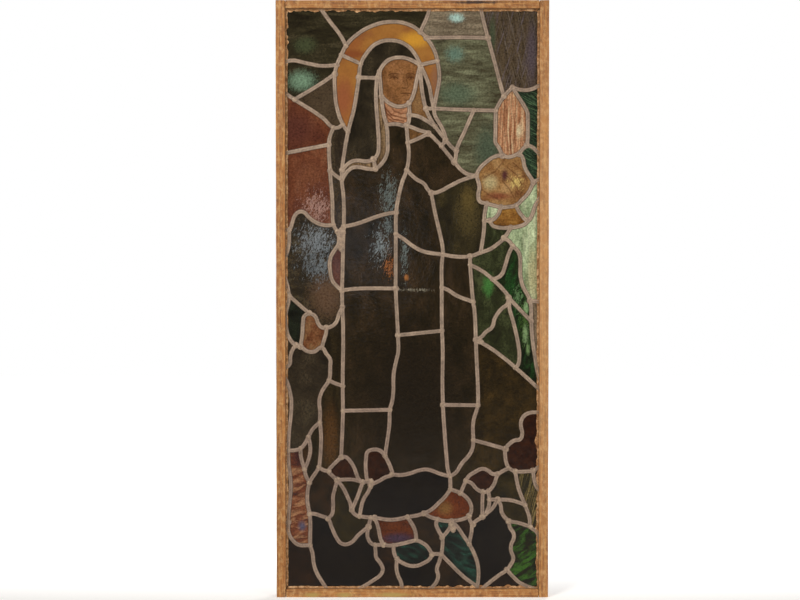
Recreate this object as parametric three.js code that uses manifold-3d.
import * as THREE from "three";
import { mergeVertices } from "three/addons/utils/BufferGeometryUtils.js";
import Module from "manifold-3d";

// A leaded glass panel in a wooden frame, in millimetres. X runs across it, Z runs up, and its
// front faces -Y. The origin is the middle of the frame's underside.

// Frame
const PANEL_WIDTH = 546;
const PANEL_HEIGHT = 1196;
const FRAME_DEPTH = 38;
const STILE_FACE = 19;
const RAIL_FACE = 17;
const GROOVE_DEPTH = 8;

// Glass and lead
const GLASS_THICKNESS = 3;
const GLASS_SET_BACK = 13; // from the frame's front to the middle of the glass
const CAME_WIDTH = 8;
const LEAF_THICKNESS = 1.2;
const HEART_THICKNESS = 1.6;
const CLEARANCE = 0.3;

// Glazing putty
const PUTTY_WIDTH = 3.2;
const PUTTY_DEPTH = 3;
const PUTTY_RAGGED = 1.5; // how far its front edge wanders
const PUTTY_STEP = 26; // between the corners of the ragged edge

// Facets
const CHORD_ERROR = 2.6; // how far a straight facet may lie from the drawn curve
const CURVE_STEPS = 8;
const BLOB_SIDES = 8;
const BLOB_SWELL = 0.9; // how much wider a blob of solder is than its cames
const WELD = 0.05; // corners closer than this become one

const openingWidth = PANEL_WIDTH - 2 * STILE_FACE;
const openingHeight = PANEL_HEIGHT - 2 * RAIL_FACE;
const openingTop = PANEL_HEIGHT - RAIL_FACE;
const glassMiddle = -FRAME_DEPTH / 2 + GLASS_SET_BACK;
const channel = GLASS_THICKNESS + 2 * CLEARANCE;
const cameDepth = channel + 2 * LEAF_THICKNESS;
const borderReach = GROOVE_DEPTH - CLEARANCE; // the border came's outer edge past the opening
const borderMiddle = borderReach - HEART_THICKNESS / 2;

// The drawing: each came line is a list of places along its middle, as [x, z] in thousandths of
// the opening's width from its middle and of its height from the sill. A line that runs past the
// opening is carried to the border came.
const BACKGROUND = [
  [[-364.2, 1007.7], [-332.7, 983.6], [-279.5, 952.7], [-261.8, 937.2]],
  [[68.9, 1007.7], [61, 990.5], [31.5, 961.3]],
  [[267.7, 1007.7], [277.6, 983.6], [297.2, 950.9], [322.8, 910.5], [342.5, 877.8],
    [360.2, 850.3]],
  [[84.6, 829.6], [242.1, 827], [328.7, 826.2]],
  [[-515.7, 858], [-464.6, 845.1], [-352.4, 813.3], [-311, 796.9], [-293.3, 796.9],
    [-273.6, 802.1]],
  [[-515.7, 752.2], [-439, 758.2], [-328.7, 767.6]],
];
const HALO = [
  [[-253.9, 789.2], [-273.6, 802.1], [-297.2, 830.5], [-305.1, 858.9], [-305.1, 889],
    [-297.2, 904.5], [-279.5, 921.7], [-261.8, 937.2], [-224.4, 954.4], [-157.5, 971.6],
    [-78.7, 978.5], [-11.8, 973.3], [31.5, 961.3], [55.1, 950.9], [84.6, 931.2], [98.4, 911.4],
    [106.3, 881.2], [96.5, 856.3], [84.6, 829.6]],
];
const VEIL = [
  [[-281.5, 227.2], [-275.6, 291.7], [-274.6, 308.1], [-275.6, 351.1], [-273.6, 450.1],
    [-276.6, 488], [-277.6, 516.4], [-275.6, 553.4], [-273.6, 591.2], [-271.7, 616.2],
    [-270.7, 626.5], [-271.7, 678.1], [-278.5, 707.4], [-277.6, 723.8], [-269.7, 749.6],
    [-253.9, 789.2], [-230.3, 828.7], [-210.6, 883], [-202.8, 906.2], [-179.1, 925.1],
    [-139.8, 941.5], [-78.7, 946.6], [-21.7, 938], [11.8, 921.7], [31.5, 904.5], [65, 870.1],
    [74.8, 848.5], [84.6, 829.6]],
  [[-139.8, 882.1], [-129.9, 893.3], [-104.3, 909.6], [-78.7, 915.7], [-51.2, 917.4],
    [-15.7, 914.8], [31.5, 904.5]],
  [[-139.8, 882.1], [-143.7, 852.8], [-137.8, 806.4], [-132.9, 768.5], [-137.8, 750.4],
    [-153.5, 742.7], [-173.2, 739.2], [-222.4, 740.1], [-244.1, 737.5], [-277.6, 723.8]],
  [[-129.9, 893.3], [-126, 871.8], [-122, 850.3], [-112.2, 817.6], [-102.4, 802.1],
    [-97.4, 770.2], [-100.4, 751.3], [-118.1, 736.7], [-145.7, 726.3], [-165.4, 725.5],
    [-226.4, 728.9], [-246.1, 725.5], [-278.5, 707.4]],
  [[84.6, 829.6], [88.6, 818.4], [102.4, 807.2], [118.1, 795.2], [129.9, 776.2], [114.2, 765.1]],
];
// The head is an oval of ordinary proportions inside the veil.
const FACE = [
  [[31.5, 904.5], [17.7, 880.4], [5.9, 856.3], [-13.8, 839.1], [-49.2, 833], [-84.6, 837.3],
    [-122, 850.3]],
  [[-13.8, 839.1], [-11.8, 818.4], [-23.6, 801.2], [-61, 802.9], [-102.4, 802.1]],
];
const MANTLE = [
  [[-23.6, 801.2], [-17.7, 771.1], [-13.8, 753], [-22.6, 723.8], [-39.4, 704], [-53.1, 680.7],
    [-64, 650.6], [-65, 613.6], [-65.9, 536.1], [-65.9, 519.8], [-60, 467.3], [-57.1, 438.9],
    [-56.1, 409.6], [-65, 392.4], [-73.8, 371.8], [-75.8, 338.2], [-80.7, 322.7], [-88.6, 309.8],
    [-90.6, 286.6], [-96.5, 265.1], [-108.3, 229.8]],
  [[-23.6, 801.2], [19.7, 793.5], [63, 786.6], [96.5, 773.7], [114.2, 765.1], [149.6, 746.1],
    [165.4, 737.5], [206.7, 719.4], [232.3, 715.1], [252, 714.3]],
  [[74.8, 684.2], [98.4, 685.5], [143.7, 695.4], [194.9, 706.5], [252, 714.3]],
  [[-65, 613.6], [-31.5, 604.1], [3.9, 592.5], [39.4, 584.3], [78.7, 580.5], [120.1, 578.3],
    [165.4, 574.9], [227.4, 575.3], [269.7, 581.8], [307.1, 587.8], [342.5, 598.5],
    [362.2, 606.7], [376, 615.3], [387.8, 624.8]],
  [[-277.6, 516.4], [-236.2, 518.9], [-65.9, 519.8]],
  [[74.8, 684.2], [88.6, 651.5], [106.3, 618.8], [120.1, 587.8], [120.1, 578.3]],
  [[120.1, 578.3], [116.1, 562], [116.1, 521.5], [117.1, 446.6], [120.1, 415.7], [119.1, 355.4],
    [121.1, 318.4], [126, 280.6], [134.8, 231.5], [141.7, 204], [148.6, 194.5], [150.6, 183.3],
    [150.6, 172.1]],
  [[148.6, 194.5], [171.3, 200.5], [194.9, 216], [230.3, 234.9], [240.2, 247], [241.1, 257.3],
    [241.1, 288.3], [258.9, 317.6], [259.8, 338.2], [253, 407.1], [251, 431.2], [245.1, 481.9],
    [240.2, 496.6], [232.3, 534.4], [228.3, 560.2], [227.4, 575.3]],
];
const HAND_AND_LAMP = [
  [[252, 714.3], [263.8, 725.5], [293.3, 738.4], [324.8, 747], [354.3, 748.7], [378, 746.1],
    [399.6, 748.3], [421.3, 751.3], [435, 744.4], [442.9, 728.9], [478.3, 703.1]],
  [[478.3, 703.1], [456.7, 684.2], [433.1, 673], [409.4, 663.5], [379.9, 660.5], [348.4, 660.1],
    [322.8, 662.7], [293.3, 666.1], [265.7, 670.4], [259.8, 679], [263.8, 695.4], [252, 714.3]],
  [[478.3, 703.1], [515.7, 710]],
  [[421.3, 751.3], [435, 759.9], [450.8, 766.8], [454.7, 794.3], [454.7, 818.4], [442.9, 832.2],
    [409.4, 855.4], [393.7, 865.7]],
  [[393.7, 865.7], [360.2, 850.3], [334.6, 832.2], [328.7, 826.2], [326.8, 771.9], [340.6, 762.5],
    [354.3, 748.7]],
  [[393.7, 865.7], [433.1, 861.4], [464.6, 862.3], [515.7, 870.9]],
  [[293.3, 666.1], [285.4, 649.7], [283.5, 636.8], [282.5, 620.5], [269.7, 581.8]],
  [[348.4, 660.1], [338.6, 648], [320.9, 639.4], [307.1, 636.8]],
  [[307.1, 636.8], [315, 629.1], [334.6, 625.2], [387.8, 624.8], [417.3, 626.5], [446.9, 631.7],
    [456.7, 637.7]],
  [[409.4, 663.5], [415.4, 656.6], [431.1, 646.3], [456.7, 637.7], [472.4, 647.2], [484.3, 661.8],
    [515.7, 679]],
];
const LEFT_FIELD = [
  [[-311, 796.9], [-326.8, 778], [-328.7, 767.6], [-324.8, 722.9], [-315, 665.2], [-315, 643.7],
    [-311, 629.1], [-297.2, 617.9], [-289.4, 606.7], [-293.3, 594.7], [-309.1, 584.3],
    [-322.8, 573.1], [-324.8, 550.8], [-315, 532.7], [-295.3, 522.4], [-277.6, 516.4]],
  [[-515.7, 622.2], [-486.2, 621.3], [-474.4, 632.5], [-464.6, 644.6], [-448.8, 651.5],
    [-429.1, 651.5], [-409.4, 642.9], [-385.8, 635.1], [-350.4, 629.1], [-311, 629.1]],
  [[-486.2, 506.9], [-450.8, 493.1], [-407.5, 477.6], [-385.8, 472.5], [-370.1, 457.8],
    [-358.3, 452.7], [-340.6, 451.8], [-318.9, 454.4], [-301.2, 461.3], [-289.4, 475.9],
    [-276.6, 488]],
  [[-486.2, 506.9], [-490.2, 494.8], [-500, 475.9], [-498, 450.1], [-486.2, 433.7],
    [-460.6, 421.7], [-441.9, 419.1], [-413.4, 410.9], [-387.8, 410.5], [-358.3, 417.4],
    [-340.6, 407.1], [-324.8, 396.7], [-324.8, 385.5], [-329.7, 360.6], [-342.5, 352],
    [-360.2, 339.1], [-368.1, 325.3], [-365.2, 306.4], [-366.1, 288.3]],
  [[-407.5, 477.6], [-427.2, 471.6], [-432.1, 460.4], [-435, 441.5], [-441.9, 419.1]],
  [[-329.7, 360.6], [-311, 356.7], [-275.6, 351.1]],
  [[-460.6, 421.7], [-474.4, 413.1], [-482.3, 401.9], [-484.3, 389.8], [-498, 383.8],
    [-515.7, 382.1]],
  [[-491.1, 239.2], [-490.2, 217.7], [-481.3, 179], [-490.2, 129.9], [-491.1, 114.5],
    [-490.2, 95.5], [-474.4, 83.5], [-452.8, 75.7], [-405.5, 74.4]],
  [[-515.7, 114.5], [-491.1, 114.5]],
  [[-366.1, 288.3], [-395.7, 275.4], [-411.4, 262.5], [-425.2, 251.3], [-442.9, 242.7],
    [-464.6, 239.7], [-491.1, 239.2]],
  [[-366.1, 288.3], [-362.2, 273.7], [-362.2, 243.5], [-366.1, 222], [-370.1, 210.8],
    [-401.6, 188.5], [-407.5, 183.3], [-416.3, 157.5], [-413.4, 142.9], [-406.5, 129.1],
    [-405.5, 74.4]],
];
const GROUND_LEFT = [
  [[-370.1, 210.8], [-354.3, 205.7], [-330.7, 203.1]],
  [[-281.5, 227.2], [-299.2, 220.3], [-315, 213.4], [-330.7, 203.1], [-316.9, 195.4],
    [-297.2, 188]],
  [[-281.5, 227.2], [-265.7, 228.1], [-252, 223.8], [-234.3, 212.6], [-196.9, 184.2],
    [-177.2, 186.7]],
  [[-406.5, 129.1], [-387.8, 129.1], [-362.2, 125.6], [-334.6, 120.5], [-318.9, 105],
    [-299.2, 86.9], [-283.5, 78.3], [-261.8, 76.2], [-240.2, 80], [-212.6, 92.9],
    [-173.2, 106.7]],
  [[-297.2, 188], [-273.6, 173.8], [-257.9, 160.1], [-245.1, 146.3], [-240.2, 136],
    [-224.4, 127.4], [-208.7, 125.2], [-165.4, 122.6], [-149.6, 122.2], [-86.6, 118.8],
    [-55.1, 120.1], [-19.7, 123.5], [19.7, 126.5], [45.3, 129.9], [76.8, 136.8], [104.3, 148],
    [131.9, 160.1], [150.6, 172.1]],
  [[-165.4, 179.9], [-173.2, 168.7], [-192.9, 154.9], [-202.8, 140.3], [-208.7, 125.2]],
  [[-165.4, 179.9], [-177.2, 186.7], [-183.1, 200.5], [-183.1, 226.3], [-177.2, 236.7],
    [-157.5, 240.5], [-133.9, 240.1], [-116.1, 234.9], [-108.3, 229.8], [-94.5, 218.6],
    [-84.6, 207.4], [-80.7, 197.9], [-106.3, 192.8], [-133.9, 185.9], [-165.4, 179.9]],
  [[-165.4, 122.6], [-173.2, 106.7], [-178.1, 94.7], [-175.2, 86.1], [-161.4, 77.5],
    [-147.6, 74.9]],
];
const GROUND_MIDDLE = [
  [[-147.6, 74.9], [-114.2, 75.3], [-94.5, 74], [-74.8, 74.4], [-39.4, 77.5], [15.7, 83.5]],
  [[-19.7, 123.5], [-2, 111.9], [11.8, 99], [15.7, 83.5]],
  [[-147.6, 74.9], [-145.7, 62.8], [-143.7, 54.2], [-126, 43], [-117.1, 32.7], [-124, 24.1],
    [-153.5, 13.8], [-216.5, -6.9]],
  [[-74.8, 74.4], [-71.9, 61.1], [-61, 50.8], [-35.4, 43], [5.9, 38.3], [47.2, 43.9],
    [70.9, 51.6], [78.7, 58.5], [92.5, 59.4], [115.2, 58.5]],
  [[115.2, 58.5], [141.7, 46.5], [204.7, 19.4], [257.9, 2.6]],
  [[150.6, 172.1], [190.9, 165.2], [212.6, 158.3], [230.3, 147.2], [234.3, 136.8], [224.4, 125.6],
    [196.9, 119.6], [155.5, 117], [118.1, 117.5], [100.4, 119.6], [70.9, 123.9], [45.3, 129.9]],
  [[100.4, 119.6], [94.5, 111.9], [102.4, 101.5], [118.1, 87.8], [119.1, 71.4], [115.2, 58.5]],
  [[155.5, 117], [181.1, 105], [200.8, 92.1], [225.4, 76.6], [244.1, 61.1], [257.9, 43.9],
    [262.8, 24.1], [257.9, 2.6], [255.9, -6.9]],
];
const GROUND_RIGHT = [
  [[362.2, 606.7], [383.9, 600.7], [395.7, 592.9], [413.4, 586.1], [424.2, 575.7], [426.2, 557.7],
    [427.2, 540.4], [437, 523.2], [452.8, 510.3], [464.6, 498.3], [469.5, 484.5], [469.5, 469],
    [476.4, 426], [484.3, 403.6], [494.1, 377.8], [515.7, 355.4]],
  [[395.7, 592.9], [381.9, 580.9], [364.2, 555.9], [354.3, 544.8], [334.6, 537.9], [315, 536.1]],
  [[315, 536.1], [354.3, 519.8], [379.9, 504.3], [383.9, 484.5], [397.6, 463.9], [421.3, 415.7],
    [423.2, 401.9], [417.3, 387.3], [407.5, 383]],
  [[251, 431.2], [293.3, 420.8], [346.5, 404.9], [407.5, 383], [515.7, 343.4]],
  [[515.7, 305.5], [484.3, 305.5], [464.6, 304.6], [444.9, 300.3], [431.1, 290.9], [430.1, 280.6],
    [435, 269.4], [427.2, 259], [403.5, 256.5], [383.9, 250.4], [369.1, 241.8], [368.1, 229.8],
    [374, 215.1], [381.9, 208.3]],
  [[381.9, 208.3], [407.5, 203.1], [456.7, 203.1], [478.3, 204], [515.7, 213.4]],
  [[381.9, 208.3], [360.2, 204], [338.6, 198.8], [316.9, 198.8], [301.2, 204], [277.6, 207.4],
    [248, 201.8], [222.4, 194.1], [212.6, 186.7], [190.9, 165.2]],
  [[212.6, 186.7], [234.3, 182.4], [255.9, 172.1], [279.5, 167.4], [301.2, 169.1], [322.8, 179.9],
    [332.7, 191.9], [338.6, 198.8]],
  [[338.6, 154], [315, 137.7], [291.3, 129.1], [277.6, 123.9], [240.2, 111], [234.3, 97.2],
    [225.4, 76.6]],
  [[338.6, 154], [383.9, 153.2], [417.3, 149.7], [446.9, 144.6]],
  [[338.6, 154], [350.4, 143.7], [354.3, 131.7], [370.1, 121.3], [381.9, 116.2], [385.8, 106.7],
    [401.6, 94.7], [401.6, 86.1], [391.7, 74.9], [391.7, 64.5], [400.6, 52.5], [389.8, 40.4],
    [375, 31.8], [342.5, 21.9], [269.7, -6.9]],
  [[407.5, 203.1], [415.4, 183.3], [425.2, 167.8], [446.9, 144.6], [464.6, 121.3], [468.5, 106.7],
    [492.1, 98.1], [515.7, 78.3]],
];

// Panes of one kind of glass that lie side by side share a plate here. The leaves of these cames
// run over it, front and back, and their hearts are left out.
const LAID_OVER = [
  [[-515.7, 908.8], [-474.4, 912.2], [-413.4, 907.1], [-354.3, 902.8], [-297.2, 904.5]],
  [[55.1, 950.9], [177.2, 951.8], [297.2, 950.9]],
  [[-305.1, 889], [-362.2, 871.8], [-464.6, 845.1]],
  [[-279.5, 921.7], [-202.8, 906.2]],
  [[31.5, 904.5], [98.4, 911.4]],
  [[-210.6, 883], [-139.8, 882.1]],
  [[-153.5, 742.7], [-145.7, 726.3]],
  [[31.5, 904.5], [33.5, 880.4], [39.4, 856.3], [53.1, 829.6], [65, 816.7], [90.6, 798.6],
    [129.9, 776.2]],
  [[53.1, 829.6], [84.6, 829.6]],
  [[129.9, 776.2], [155.5, 763.3], [173.2, 757.3]],
  [[242.1, 827], [204.7, 789.2], [173.2, 757.3], [171.3, 746.1], [165.4, 737.5]],
  [[-11.8, 818.4], [9.8, 817.6], [29.5, 815], [90.6, 798.6]],
  [[-17.7, 771.1], [9.8, 775.4], [63, 786.6]],
  [[-22.6, 723.8], [13.8, 708.7], [47.2, 699.7], [61, 690.2], [74.8, 684.2]],
  [[450.8, 766.8], [472.4, 763.3], [515.7, 747.8]],
  [[307.1, 636.8], [283.5, 636.8]],
  [[464.6, 498.3], [515.7, 496.6]],
  [[228.3, 560.2], [261.8, 553.4], [293.3, 544.3], [315, 536.1]],
  [[379.9, 504.3], [421.3, 485.4], [450.8, 469], [469.5, 469]],
  [[379.9, 504.3], [376, 493.1], [352.4, 484.5], [326.8, 469], [315, 452.7], [289.4, 444.1],
    [271.7, 435.5], [251, 431.2]],
  [[241.1, 257.3], [293.3, 251.3], [369.1, 241.8]],
  [[-324.8, 722.9], [-305.1, 715.1], [-278.5, 707.4]],
  [[-486.2, 621.3], [-486.2, 609.3], [-488.2, 594.7], [-498, 579.2], [-515.7, 571.4]],
  [[-515.7, 544.8], [-496.1, 528.4], [-486.2, 506.9]],
  [[-340.6, 451.8], [-340.6, 444.1], [-348.4, 432], [-358.3, 417.4]],
  [[-515.7, 369.2], [-496.1, 358], [-480.3, 332.2], [-478.3, 321], [-490.2, 259],
    [-491.1, 239.2]],
  [[-411.4, 262.5], [-404.5, 247.8], [-404.5, 236.7], [-411.4, 222.9], [-427.2, 206.5]],
  [[-442.9, 242.7], [-440.9, 228.1], [-427.2, 206.5], [-421.3, 195.4], [-407.5, 183.3]],
  [[-297.2, 188], [-255.9, 188.9], [-232.3, 188.5], [-196.9, 184.2]],
  [[-297.2, 188], [-307.1, 172.1], [-314, 160.1], [-314, 140.3], [-318.9, 128.2],
    [-334.6, 120.5]],
  [[-196.9, 184.2], [-208.7, 168.7], [-222.4, 153.2], [-240.2, 136]],
  [[-270.7, 626.5], [-224.4, 630.8], [-124, 645.9], [-86.6, 649.7], [-64, 650.6]],
  [[-274.6, 308.1], [-88.6, 309.8]],
  [[-57.1, 438.9], [117.1, 446.6]],
  [[-80.7, 197.9], [-49.2, 196.6], [-15.7, 198.8], [31.5, 205.2], [61, 206.1], [84.6, 203.1],
    [112.2, 198.4], [148.6, 194.5]],
  [[116.1, 521.5], [139.8, 517.2], [177.2, 506.9], [240.2, 496.6]],
  [[121.1, 318.4], [258.9, 317.6]],
  [[-405.5, 74.4], [-395.7, 60.2], [-390.7, 42.2], [-378, 25.8], [-358.3, 11.2], [-336.6, -6.9]],
  [[-149.6, 122.2], [-137.8, 109.3], [-124, 83.5], [-114.2, 75.3]],
  [[15.7, 83.5], [35.4, 80], [59.1, 72.3], [78.7, 58.5]],
  [[-61, 50.8], [-63, 34.4], [-57.1, 22.4], [-45.3, 10.3], [-39.4, -6.9]],
  [[115.2, 58.5], [106.3, 45.6], [97.4, 32.7], [102.4, 22.4], [96.5, 11.2], [66.9, -6.9]],
  [[155.5, 117], [149.6, 105.9], [118.1, 87.8]],
  [[224.4, 125.6], [230.3, 116.2], [240.2, 111]],
  [[279.5, 167.4], [277.6, 148.9], [277.6, 123.9]],
  [[301.2, 169.1], [305.1, 154], [303.1, 142.9], [291.3, 129.1]],
  [[305.1, 154], [338.6, 154]],
  [[381.9, 116.2], [419.3, 113.6], [468.5, 106.7]],
  [[375, 31.8], [399.6, 19.8], [429.1, 8.6], [496.1, -6.9]],
  [[478.3, 204], [482.3, 190.2], [490.2, 178.1], [515.7, 167.8]],
];

// Wide runs of solder, solid through the panel: where each starts and ends, and how many cames
// wide it is
const SOLDER_FILLS = [
  { from: [-281.5, 617.9], to: [-281.5, 589.5], cames: 2 },
  { from: [251, 431.2], to: [271.7, 427.7], cames: 1.6 },
  { from: [-162.6, 185.9], to: [-167.1, 175.1], cames: 1.5 },
  { from: [155.5, 112.7], to: [163.4, 104.1], cames: 1.6 },
];

// Kinds of glass and their colours
const DARK_OLIVE = 0x2a241b;
const GREY_GREEN = 0x4a4a36;
const BROWN = 0x3c2a1c;
const RED_BROWN = 0x6b3a24;
const AMBER = 0xa8702a;
const LEAF_GREEN = 0x2f4a24;
const PALE_GREEN = 0x6f7d52;
const MAROON = 0x32191a;
const PURPLE = 0x4b2c33;
const FLESH = 0xa8795a;
const LEAD = 0xb09d88;
const WOOD = 0xb27a45;
const PUTTY = 0xa67f55;

// Each plate of glass: its node's name, its colour and a place on it in the drawing.
const PLATES = [
  ["glass_sky_upper_left", GREY_GREEN, [-423.2, 957.8]],
  ["glass_sky_top", DARK_OLIVE, [-78.7, 990.5]],
  ["glass_sky_upper_right", GREY_GREEN, [196.9, 897.6]],
  ["glass_sky_far_right", BROWN, [423.2, 940.6]],
  ["glass_sky_left_middle", BROWN, [-423.2, 794.3]],
  ["glass_red_left", RED_BROWN, [-413.4, 708.3]],
  ["glass_border_strip_left", BROWN, [-299.2, 751.3]],
  ["glass_lens_left", RED_BROWN, [-301.2, 553.4]],
  ["glass_cloud_left", GREY_GREEN, [-393.7, 562]],
  ["glass_shade_left", DARK_OLIVE, [-466.5, 467.3]],
  ["glass_robe_hem_left", RED_BROWN, [-399.6, 441.5]],
  ["glass_olive_left", DARK_OLIVE, [-423.2, 346.8]],
  ["glass_brown_tall_left", BROWN, [-324.8, 278]],
  ["glass_opal_strip_left", RED_BROWN, [-456.7, 157.5]],
  ["glass_stones_lower_left", DARK_OLIVE, [-364.2, 166.1]],
  ["glass_stones_purple_left", PURPLE, [-259.8, 204.8]],
  ["glass_ground_lower_left", DARK_OLIVE, [-315, 37]],
  ["glass_robe_lower_left", DARK_OLIVE, [-196.9, 355.4]],
  ["glass_robe_upper_left", DARK_OLIVE, [-196.9, 673.8]],
  ["glass_veil_band", BROWN, [-118.1, 785.7]],
  ["glass_veil_left", DARK_OLIVE, [-187, 828.7]],
  ["glass_halo", AMBER, [-78.7, 962.1]],
  ["glass_face", FLESH, [-49.2, 871.8]],
  ["glass_neck", FLESH, [-59.1, 818.4]],
  ["glass_collar", BROWN, [39.4, 802.9]],
  ["glass_sky_right_middle", GREY_GREEN, [285.4, 785.7]],
  ["glass_mantle_front", DARK_OLIVE, [39.4, 656.6]],
  ["glass_lamp", RED_BROWN, [389.8, 802.9]],
  ["glass_sky_right_edge", GREY_GREEN, [484.3, 811.5]],
  ["glass_hand", AMBER, [354.3, 704]],
  ["glass_reed_right", PALE_GREEN, [456.7, 669.5]],
  ["glass_cuff_lining", DARK_OLIVE, [315, 609.3]],
  ["glass_cuff", AMBER, [383.9, 641.1]],
  ["glass_reed_tall_right", PALE_GREEN, [472.4, 570.6]],
  ["glass_sleeve_right", GREY_GREEN, [187, 639.4]],
  ["glass_robe_middle", DARK_OLIVE, [29.5, 372.6]],
  ["glass_robe_right", DARK_OLIVE, [187, 398.5]],
  ["glass_leaf_left", LEAF_GREEN, [295.3, 501.7]],
  ["glass_leaf_right", LEAF_GREEN, [442.9, 450.1]],
  ["glass_ground_right", BROWN, [334.6, 329.6]],
  ["glass_stone_maroon_right", MAROON, [442.9, 234.9]],
  ["glass_stone_red_oval", MAROON, [279.5, 187.6]],
  ["glass_stones_brown_right", BROWN, [374, 179]],
  ["glass_stone_orange", RED_BROWN, [177.2, 140.3]],
  ["glass_stone_green_blue", LEAF_GREEN, [177.2, 62.8]],
  ["glass_stone_brown_middle", BROWN, [68.9, 101.5]],
  ["glass_stone_purple_blue", PURPLE, [-68.9, 97.2]],
  ["glass_stone_dark_right", DARK_OLIVE, [315, 71.4]],
  ["glass_fern_lower_right", LEAF_GREEN, [452.8, 62.8]],
  ["glass_striped_right", PALE_GREEN, [462.6, 153.2]],
  ["glass_ground_lower_middle", DARK_OLIVE, [19.7, 19.8]],
  ["glass_stone_purple_foot", PURPLE, [-137.8, 209.1]],
];

const wasm = await Module();
wasm.setup();

function solidOf(geometry) {
  const bare = geometry.clone();
  bare.deleteAttribute("normal");
  bare.deleteAttribute("uv");
  const merged = mergeVertices(bare, 1e-4);
  return new wasm.Manifold(
    new wasm.Mesh({
      numProp: 3,
      vertProperties: merged.attributes.position.array,
      triVerts: new Uint32Array(merged.index.array),
    }),
  );
}

function geometryOf(solid) {
  const { vertProperties, triVerts } = solid.getMesh();
  const geometry = new THREE.BufferGeometry();
  geometry.setAttribute("position", new THREE.BufferAttribute(vertProperties, 3));
  geometry.setIndex(new THREE.BufferAttribute(triVerts, 1));
  return welded(geometry);
}

// A joined solid has a few corners a hair's breadth apart, which are drawn together.
function welded(geometry) {
  const whole = mergeVertices(geometry, WELD);
  const corners = whole.index.array;
  const kept = [];
  for (let i = 0; i < corners.length; i += 3) {
    const [a, b, c] = corners.slice(i, i + 3);
    if (a !== b && b !== c && c !== a) kept.push(a, b, c);
  }
  whole.setIndex(kept);
  return whole;
}

// An outline in the panel's plane, thickened from one depth to another, both along Y.
function slab(outline, front, back) {
  const shape = new THREE.Shape(outline);
  const geometry = new THREE.ExtrudeGeometry(shape, { depth: back - front, bevelEnabled: false });
  return solidOf(geometry.translate(0, 0, -back).rotateX(Math.PI / 2));
}

function rectangle(halfWidth, bottom, top) {
  return [
    new THREE.Vector2(-halfWidth, bottom),
    new THREE.Vector2(halfWidth, bottom),
    new THREE.Vector2(halfWidth, top),
    new THREE.Vector2(-halfWidth, top),
  ];
}

// A rectangle that reaches past the opening by a distance, or stops short of it if negative.
function aroundOpening(reach) {
  return rectangle(openingWidth / 2 + reach, RAIL_FACE - reach, openingTop + reach);
}

// From the drawing to the panel
function place([x, z]) {
  const point = new THREE.Vector2(
    (x / 1000) * openingWidth,
    RAIL_FACE + (z / 1000) * openingHeight,
  );
  if (Math.abs(x) > 500) point.x = Math.sign(x) * (openingWidth / 2 + borderMiddle);
  if (z < 0) point.y = RAIL_FACE - borderMiddle;
  if (z > 1000) point.y = openingTop + borderMiddle;
  return point;
}

function samePlace(a, b) {
  return a.distanceTo(b) < WELD;
}

const WITH_HEART = [
  BACKGROUND, HALO, VEIL, FACE, MANTLE, HAND_AND_LAMP, LEFT_FIELD, GROUND_LEFT, GROUND_MIDDLE,
  GROUND_RIGHT,
].flat();
const placedLines = [...WITH_HEART, ...LAID_OVER].map((line) => line.map(place));
const lineEnds = placedLines.flatMap(endsOf);

function endsOf(line) {
  return [line[0], line.at(-1)];
}

// The smooth line through its places, with as few straight facets as CHORD_ERROR allows. It
// keeps a corner wherever another line ends on it.
function facets(places) {
  const curve = new THREE.CatmullRomCurve3(
    places.map((p) => new THREE.Vector3(p.x, p.y, 0)),
    false,
    "centripetal",
  );
  const steps = (places.length - 1) * CURVE_STEPS;
  const fine = [];
  for (let i = 0; i <= steps; i++) {
    const p = curve.getPoint(i / steps);
    fine.push(new THREE.Vector2(p.x, p.y));
  }
  const line = [fine[0]];
  let start = 0;
  places.forEach((p, i) => {
    const end = i * CURVE_STEPS;
    const isJoint = end === steps || lineEnds.some((other) => samePlace(other, p));
    if (i === 0 || !isJoint) return;
    line.push(...thinned(fine, start, end));
    start = end;
  });
  return line;
}

// The points after the start that stay, when all that lie close enough to a chord are dropped
function thinned(points, start, end) {
  const chord = new THREE.Line3(flat(points[start]), flat(points[end]));
  let furthest = 0;
  let at = -1;
  for (let i = start + 1; i < end; i++) {
    const near = chord.closestPointToPoint(flat(points[i]), true, new THREE.Vector3());
    const away = near.distanceTo(flat(points[i]));
    if (away > furthest) [furthest, at] = [away, i];
  }
  if (furthest <= CHORD_ERROR) return [points[end]];
  return [...thinned(points, start, at), ...thinned(points, at, end)];
}

function flat(point) {
  return new THREE.Vector3(point.x, point.y, 0);
}

// The outline of a strip of one width along a line of facets, mitred at its corners
function strip(line, width) {
  const side = (sign) =>
    line.map((point, i) => {
      const before = i > 0 ? point.clone().sub(line[i - 1]).normalize() : null;
      const after = i < line.length - 1 ? line[i + 1].clone().sub(point).normalize() : null;
      const along = new THREE.Vector2().add(before ?? after).add(after ?? before).normalize();
      const stretch = along.dot(after ?? before);
      const across = new THREE.Vector2(-along.y, along.x);
      return point.clone().addScaledVector(across, (sign * width) / 2 / stretch);
    });
  return [...side(1).reverse(), ...side(-1)];
}

// The outline of a round blob of solder
function blob(centre, width) {
  const reach = width / 2 / Math.cos(Math.PI / BLOB_SIDES);
  return Array.from({ length: BLOB_SIDES }, (_, i) => {
    const turn = ((i + 0.5) / BLOB_SIDES) * 2 * Math.PI;
    return new THREE.Vector2(
      centre.x + reach * Math.cos(turn),
      centre.y + reach * Math.sin(turn),
    );
  });
}

// The places where only the ends of lines meet, so that a blob has to close the corner
function cornerPlaces(lines) {
  const inside = lines.flatMap((line) => line.slice(1, -1));
  const ends = lines.flatMap(endsOf);
  return ends.filter((end, i) => {
    const isShared = ends.findIndex((other) => samePlace(other, end)) < i;
    const isLast = ends.findLastIndex((other) => samePlace(other, end)) === i;
    return isShared && isLast && !inside.some((other) => samePlace(other, end));
  });
}

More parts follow.
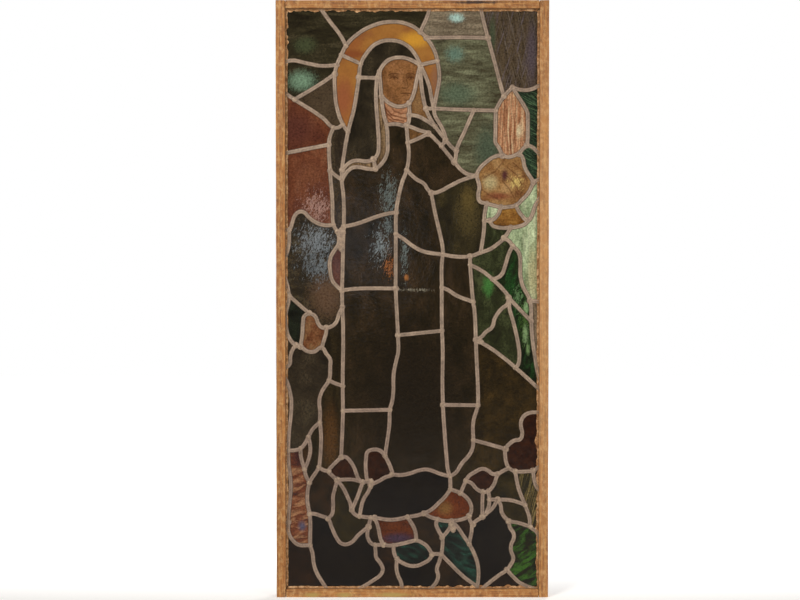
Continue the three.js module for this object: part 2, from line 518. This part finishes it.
const facetedLines = placedLines.map(facets);
const facetedWithHeart = facetedLines.slice(0, WITH_HEART.length);

// Lines, corners and fills as one solid, the fills narrower than the solder by a trim
function leadwork(lines, lineWidth, fillTrim, front, back) {
  const outlines = [
    ...lines.map((line) => strip(line, lineWidth)),
    ...cornerPlaces(lines).map((end) => blob(end, lineWidth + BLOB_SWELL)),
    ...SOLDER_FILLS.map(({ from, to, cames }) =>
      strip([place(from), place(to)], cames * CAME_WIDTH - fillTrim),
    ),
  ];
  const solids = outlines.map((outline) => slab(outline, front, back));
  return solids.reduce((whole, piece) => whole.add(piece));
}

// The leads: two leaves joined by a heart, soldered into one net with a border came round it
function borderRing(width, front, back) {
  const outer = slab(aroundOpening(borderReach), front, back);
  return outer.subtract(slab(aroundOpening(borderReach - width), front - 1, back + 1));
}

function leaf(front) {
  const back = front + LEAF_THICKNESS;
  const net = leadwork(facetedLines, CAME_WIDTH, 0, front, back);
  const inside = net.intersect(slab(aroundOpening(borderReach), front, back));
  return inside.add(borderRing(CAME_WIDTH, front, back));
}

const netFront = glassMiddle - cameDepth / 2;
const netBack = glassMiddle + cameDepth / 2;
const fillLip = CAME_WIDTH - HEART_THICKNESS;

function leadNet() {
  const front = netFront + LEAF_THICKNESS / 2; // the hearts end inside the leaves
  const back = netBack - LEAF_THICKNESS / 2;
  const hearts = leadwork(facetedWithHeart, HEART_THICKNESS, fillLip, front, back)
    .intersect(slab(aroundOpening(borderReach), front, back))
    .add(borderRing(HEART_THICKNESS, front, back));
  return leaf(netFront).add(hearts).add(leaf(netBack - LEAF_THICKNESS));
}

// The glass is one sheet, parted by the hearts and their clearance.
function glassPlates() {
  const front = glassMiddle - GLASS_THICKNESS / 2;
  const back = glassMiddle + GLASS_THICKNESS / 2;
  const reach = borderReach - HEART_THICKNESS - CLEARANCE;
  const sheet = slab(aroundOpening(reach), front, back);
  const kerf = 2 * CLEARANCE;
  const cut = leadwork(
    facetedWithHeart, HEART_THICKNESS + kerf, fillLip - kerf, front - 1, back + 1,
  );
  return sheet.subtract(cut).decompose().map(geometryOf);
}

// Whether a plate of glass lies at a place of the drawing
function covers(geometry, seed) {
  const { x, y } = place(seed);
  const ray = new THREE.Ray(new THREE.Vector3(x, -FRAME_DEPTH, y), new THREE.Vector3(0, 1, 0));
  const { position } = geometry.attributes;
  const corners = [new THREE.Vector3(), new THREE.Vector3(), new THREE.Vector3()];
  const hit = new THREE.Vector3();
  for (let i = 0; i < geometry.index.count; i += 3) {
    corners.forEach((corner, k) => {
      corner.fromBufferAttribute(position, geometry.index.getX(i + k));
    });
    if (ray.intersectTriangle(...corners, false, hit)) return true;
  }
  return false;
}

// Frame members, with a groove that takes the border came
const grooveWidth = cameDepth + 2 * CLEARANCE;

// A member's section: its outer face at x = 0, its face towards the glass at x = face
function frameSection(face) {
  const half = FRAME_DEPTH / 2;
  return [
    [0, -half],
    [face, -half],
    [face, glassMiddle - grooveWidth / 2],
    [face - GROOVE_DEPTH, glassMiddle - grooveWidth / 2],
    [face - GROOVE_DEPTH, glassMiddle + grooveWidth / 2],
    [face, glassMiddle + grooveWidth / 2],
    [face, half],
    [0, half],
  ].map(([x, y]) => new THREE.Vector2(x, y));
}

// Putty: a bead on the front of the glass with a ragged inner edge, and a straight one behind
function raggedEdge() {
  const corners = aroundOpening(-PUTTY_WIDTH);
  return corners.flatMap((corner, side) => {
    const next = corners[(side + 1) % corners.length];
    const steps = Math.max(2, Math.round(corner.distanceTo(next) / PUTTY_STEP));
    const along = next.clone().sub(corner).normalize();
    const inward = new THREE.Vector2(-along.y, along.x);
    return Array.from({ length: steps }, (_, i) => {
      const wander = i === 0 ? 0 : Math.sin(2.3 * i + side) * Math.cos(0.9 * i + 2 * side);
      return corner
        .clone()
        .lerp(next, i / steps)
        .addScaledVector(inward, wander * PUTTY_RAGGED);
    });
  });
}

function puttyRing(innerEdge, front, back) {
  const outer = slab(aroundOpening(-CLEARANCE), front, back);
  return outer.subtract(slab(innerEdge, front - 1, back + 1));
}

const panel = new THREE.Group();
panel.name = "cathedral_glass_panel";

function addPiece(name, geometry, color, roughness, metalness = 0, transparent = false) {
  const material = new THREE.MeshStandardMaterial({ color, roughness, metalness });
  if (transparent) Object.assign(material, { transparent: true, opacity: 0.85 });
  const mesh = new THREE.Mesh(geometry, material);
  mesh.name = name;
  panel.add(mesh);
  return mesh;
}

// A stile, whose section is mirrored to face the glass
function stile(name, mirror) {
  const section = frameSection(STILE_FACE).map((p) => new THREE.Vector2(mirror * p.x, p.y));
  const shape = new THREE.Shape(section);
  const geometry = new THREE.ExtrudeGeometry(shape, { depth: PANEL_HEIGHT, bevelEnabled: false });
  addPiece(name, geometry, WOOD, 0.7).position.x = (-mirror * PANEL_WIDTH) / 2;
}
stile("stile_left", 1);
stile("stile_right", -1);

// A rail between the stiles, with its outer face at a height
function rail(name, outerFace, mirror) {
  const section = frameSection(RAIL_FACE).map((p) => new THREE.Vector2(-mirror * p.x, p.y));
  const shape = new THREE.Shape(section);
  const depth = openingWidth - 2 * CLEARANCE;
  const geometry = new THREE.ExtrudeGeometry(shape, { depth, bevelEnabled: false });
  geometry.rotateY(Math.PI / 2).translate(-depth / 2, 0, outerFace);
  addPiece(name, geometry, WOOD, 0.7);
}
rail("rail_bottom", 0, 1);
rail("rail_top", PANEL_HEIGHT, -1);

addPiece("lead_came_net", geometryOf(leadNet()), LEAD, 0.55, 0.3);

const puttyFront = netFront - CLEARANCE;
const puttyBack = netBack + CLEARANCE;
const frontBead = puttyRing(raggedEdge(), puttyFront - PUTTY_DEPTH, puttyFront);
const backBead = puttyRing(aroundOpening(-PUTTY_WIDTH), puttyBack, puttyBack + PUTTY_DEPTH);
addPiece("putty_front", geometryOf(frontBead), PUTTY, 0.9);
addPiece("putty_back", geometryOf(backBead), PUTTY, 0.9);

const plates = glassPlates();
PLATES.forEach(([name, color, seed]) => {
  const plate = plates.find((geometry) => covers(geometry, seed));
  if (!plate) throw new Error(`no glass at ${seed} for ${name}`);
  addPiece(name, plate, color, 0.25, 0, true);
});

export default panel;
